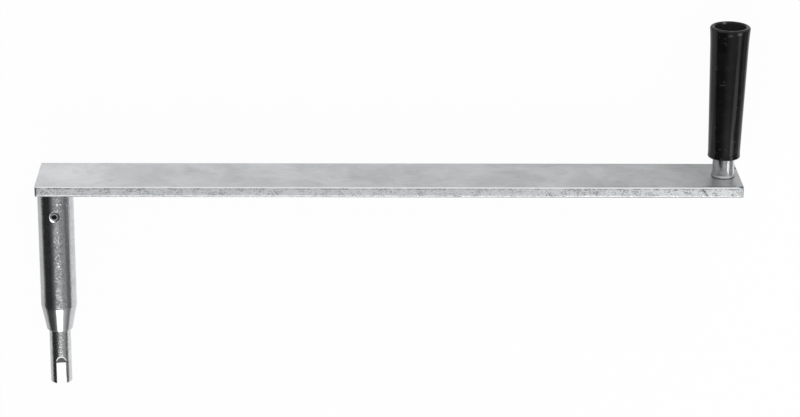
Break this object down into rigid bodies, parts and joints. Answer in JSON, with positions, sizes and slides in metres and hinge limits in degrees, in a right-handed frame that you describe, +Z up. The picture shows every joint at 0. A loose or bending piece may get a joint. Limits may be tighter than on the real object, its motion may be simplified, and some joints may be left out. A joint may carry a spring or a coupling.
{
  "type": "crank handle",
  "caption": "Flat-bar crank handle: a sleeved drive shaft with a slotted socket below one end, and a turning plastic grip above the other.",
  "frame": {"origin": "centre of the drive socket's mouth, on the drive axis", "axes": "+X along the arm from the drive axis to the grip, +Y along the drive axis towards the arm and the grip, +Z up, out of the side that the spring pin faces; the arm stands on its long edge"},
  "size_m": [0.4883, 0.2614, 0.05],
  "materials": {
    "arm_zinc": "zinc-plated rolled flat bar, satin, with a mill-rough edge",
    "sleeve_zinc": "zinc-plated drawn tube, mottled and glossy, with a turned cone",
    "shaft_zinc": "zinc-plated drawn bar, glossy",
    "spring_steel": "plated spring steel, dull",
    "weld_zinc": "zinc-plated weld, rippled",
    "spindle_zinc": "zinc-plated turned bar, glossy",
    "washer_zinc": "zinc-plated stamped washer",
    "grip_plastic": "black moulded plastic, satin, lightly scuffed"
  },
  "bodies": {
    "crank": {"arm": "arm_zinc", "guide_sleeve": "sleeve_zinc", "weld_bead": "weld_zinc", "drive_shaft": "shaft_zinc", "spring_pin": "spring_steel", "spindle": "spindle_zinc", "grip_washer": "washer_zinc"},
    "grip": {"grip": "grip_plastic"}
  },
  "joints": [
    {"name": "grip_spin", "type": "hinge", "parent": "crank", "child": "grip", "pos_m": [0.462, 0.2, 0], "axis": [0, 1, 0], "continuous": true}
  ]
}
